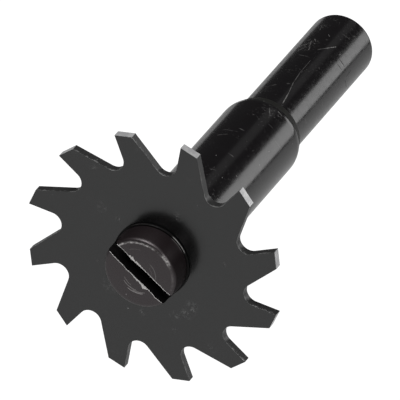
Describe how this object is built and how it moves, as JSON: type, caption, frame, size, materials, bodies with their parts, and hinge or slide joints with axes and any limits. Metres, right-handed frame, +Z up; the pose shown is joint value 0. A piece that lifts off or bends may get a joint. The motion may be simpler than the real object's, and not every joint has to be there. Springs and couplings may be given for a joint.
{
  "type": "arbor-mounted carving disc",
  "caption": "Thin toothed steel carving disc clamped by a slotted screw and washer on the end of a stepped, blackened round arbor with a plain shank.",
  "frame": {"origin": "centre of the shank's flat end face", "axes": "the rotation axis lies along Y: +Y points out of the shank's end, -Y towards the disc and the screw head; +Z up, +X to the right seen from the screw head"},
  "size_m": [0.0304, 0.0572, 0.0304],
  "materials": {
    "arbor_black_steel": "glossy blackened steel, fine turning and handling scratches",
    "disc_tool_steel": "dark satin tool steel with ground bright tooth lands",
    "washer_steel": "blackened steel with a thin bright worn edge",
    "screw_steel": "dark turned steel, burred bright edges at the slot"
  },
  "bodies": {
    "arbor": {"arbor": "arbor_black_steel"},
    "disc": {"cutter_disc": "disc_tool_steel"},
    "washer": {"washer": "washer_steel"},
    "screw": {"clamp_screw": "screw_steel"}
  },
  "joints": [
    {"name": "disc_turn", "type": "hinge", "parent": "arbor", "child": "disc", "pos_m": [0, -0.053, 0], "axis": [0, -1, 0], "continuous": true},
    {"name": "screw_lift", "type": "slide", "parent": "arbor", "child": "washer", "axis": [0, -1, 0], "range_m": [0, 0.008]},
    {"name": "screw_turn", "type": "hinge", "parent": "washer", "child": "screw", "pos_m": [0, -0.054, 0], "axis": [0, -1, 0], "range_deg": [0, 3600]}
  ],
  "couplings": [
    {"joint": "screw_turn", "follows": "screw_lift", "rad_per_m": 7854}
  ]
}
